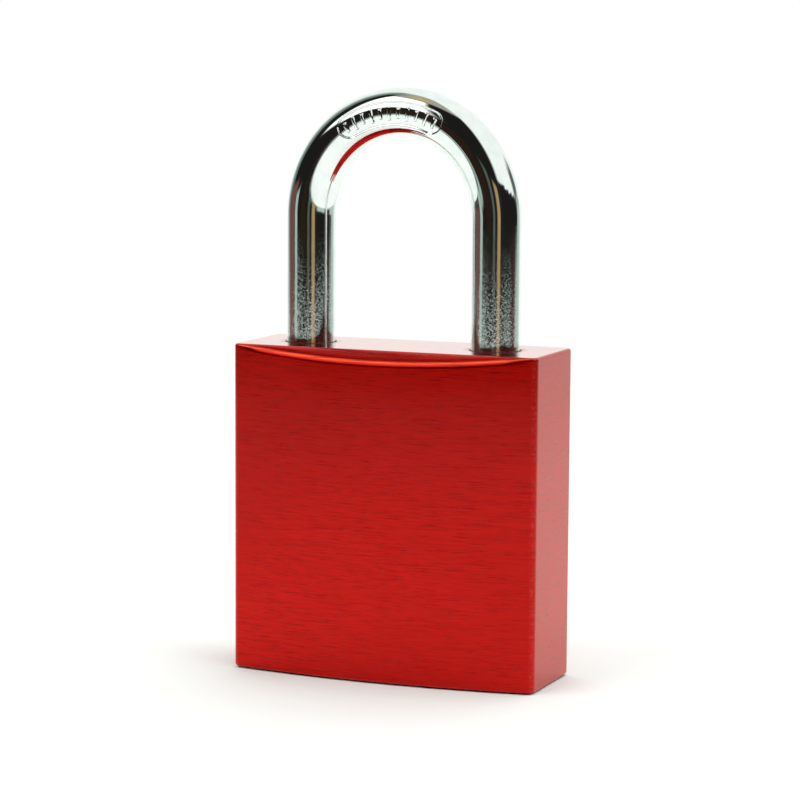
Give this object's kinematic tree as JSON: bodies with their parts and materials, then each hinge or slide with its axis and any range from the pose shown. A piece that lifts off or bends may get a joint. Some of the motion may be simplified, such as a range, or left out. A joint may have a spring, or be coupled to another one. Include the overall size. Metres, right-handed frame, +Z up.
{
  "type": "padlock",
  "caption": "Keyed safety padlock: solid aluminium block with bowed faces, round shackle on two ball locks, pin tumbler cylinder loaded from below.",
  "frame": {"origin": "centre of the block's underside", "axes": "+Z up along the shackle's legs, -Y out of one broad face, heel leg at -X and toe leg at +X"},
  "size_m": [0.038, 0.016, 0.069],
  "materials": {
    "block": "red anodised, brushed across the faces",
    "shackle": "polished chrome plate",
    "nickel": "satin nickel plate on brass",
    "brass": "machined brass",
    "steel": "turned, hardened steel",
    "spring_steel": "drawn spring wire"
  },
  "bodies": {
    "lock_body": {"lock_body": "block", "heel_retaining_ball": "steel", "cylinder_shell": "nickel", "cylinder_screw": "steel", "spring_cover": "brass", "shackle_spring": "spring_steel", "pin_spring_1": "spring_steel", "pin_spring_2": "spring_steel", "pin_spring_3": "spring_steel", "pin_spring_4": "spring_steel", "pin_spring_5": "spring_steel"},
    "shackle": {"shackle": "shackle"},
    "toe_ball": {"toe_locking_ball": "steel"},
    "plug": {"plug": "brass", "plug_clip": "spring_steel", "cam": "steel"},
    "key_pin_1": {"key_pin_1": "brass"},
    "key_pin_2": {"key_pin_2": "brass"},
    "key_pin_3": {"key_pin_3": "brass"},
    "key_pin_4": {"key_pin_4": "brass"},
    "key_pin_5": {"key_pin_5": "brass"},
    "driver_pin_1": {"driver_pin_1": "nickel"},
    "driver_pin_2": {"driver_pin_2": "nickel"},
    "driver_pin_3": {"driver_pin_3": "nickel"},
    "driver_pin_4": {"driver_pin_4": "nickel"},
    "driver_pin_5": {"driver_pin_5": "nickel"}
  },
  "joints": [
    {"name": "cylinder_turn", "type": "hinge", "parent": "lock_body", "child": "plug", "pos_m": [0, 0, 0], "axis": [0, 0, 1], "range_deg": [0, 90]},
    {"name": "shackle_lift", "type": "slide", "parent": "lock_body", "child": "shackle", "axis": [0, 0, 1], "range_m": [0, 0.011], "deforming": ["shackle_spring"]},
    {"name": "toe_ball_slide", "type": "slide", "parent": "lock_body", "child": "toe_ball", "axis": [-1, 0, 0], "range_m": [0, 0.0033]},
    {"name": "driver_pin_1_slide", "type": "slide", "parent": "lock_body", "child": "driver_pin_1", "axis": [1, 0, 0], "range_m": [-0.0021, 0], "deforming": ["pin_spring_1"]},
    {"name": "driver_pin_2_slide", "type": "slide", "parent": "lock_body", "child": "driver_pin_2", "axis": [1, 0, 0], "range_m": [-0.0013, 0], "deforming": ["pin_spring_2"]},
    {"name": "driver_pin_3_slide", "type": "slide", "parent": "lock_body", "child": "driver_pin_3", "axis": [1, 0, 0], "range_m": [-0.0025, 0], "deforming": ["pin_spring_3"]},
    {"name": "driver_pin_4_slide", "type": "slide", "parent": "lock_body", "child": "driver_pin_4", "axis": [1, 0, 0], "range_m": [-0.0009, 0], "deforming": ["pin_spring_4"]},
    {"name": "driver_pin_5_slide", "type": "slide", "parent": "lock_body", "child": "driver_pin_5", "axis": [1, 0, 0], "range_m": [-0.0017, 0], "deforming": ["pin_spring_5"]},
    {"name": "key_pin_1_slide", "type": "slide", "parent": "plug", "child": "key_pin_1", "axis": [1, 0, 0], "range_m": [-0.0021, 0]},
    {"name": "key_pin_2_slide", "type": "slide", "parent": "plug", "child": "key_pin_2", "axis": [1, 0, 0], "range_m": [-0.0013, 0]},
    {"name": "key_pin_3_slide", "type": "slide", "parent": "plug", "child": "key_pin_3", "axis": [1, 0, 0], "range_m": [-0.0025, 0]},
    {"name": "key_pin_4_slide", "type": "slide", "parent": "plug", "child": "key_pin_4", "axis": [1, 0, 0], "range_m": [-0.0009, 0]},
    {"name": "key_pin_5_slide", "type": "slide", "parent": "plug", "child": "key_pin_5", "axis": [1, 0, 0], "range_m": [-0.0017, 0]}
  ],
  "couplings": [
    {"joint": "cylinder_turn", "follows": "shackle_lift", "rad_per_m": 142.8},
    {"joint": "toe_ball_slide", "follows": "shackle_lift", "ratio": 0.3},
    {"joint": "key_pin_1_slide", "follows": "driver_pin_1_slide", "ratio": 1},
    {"joint": "key_pin_2_slide", "follows": "driver_pin_2_slide", "ratio": 1},
    {"joint": "key_pin_3_slide", "follows": "driver_pin_3_slide", "ratio": 1},
    {"joint": "key_pin_4_slide", "follows": "driver_pin_4_slide", "ratio": 1},
    {"joint": "key_pin_5_slide", "follows": "driver_pin_5_slide", "ratio": 1}
  ]
}
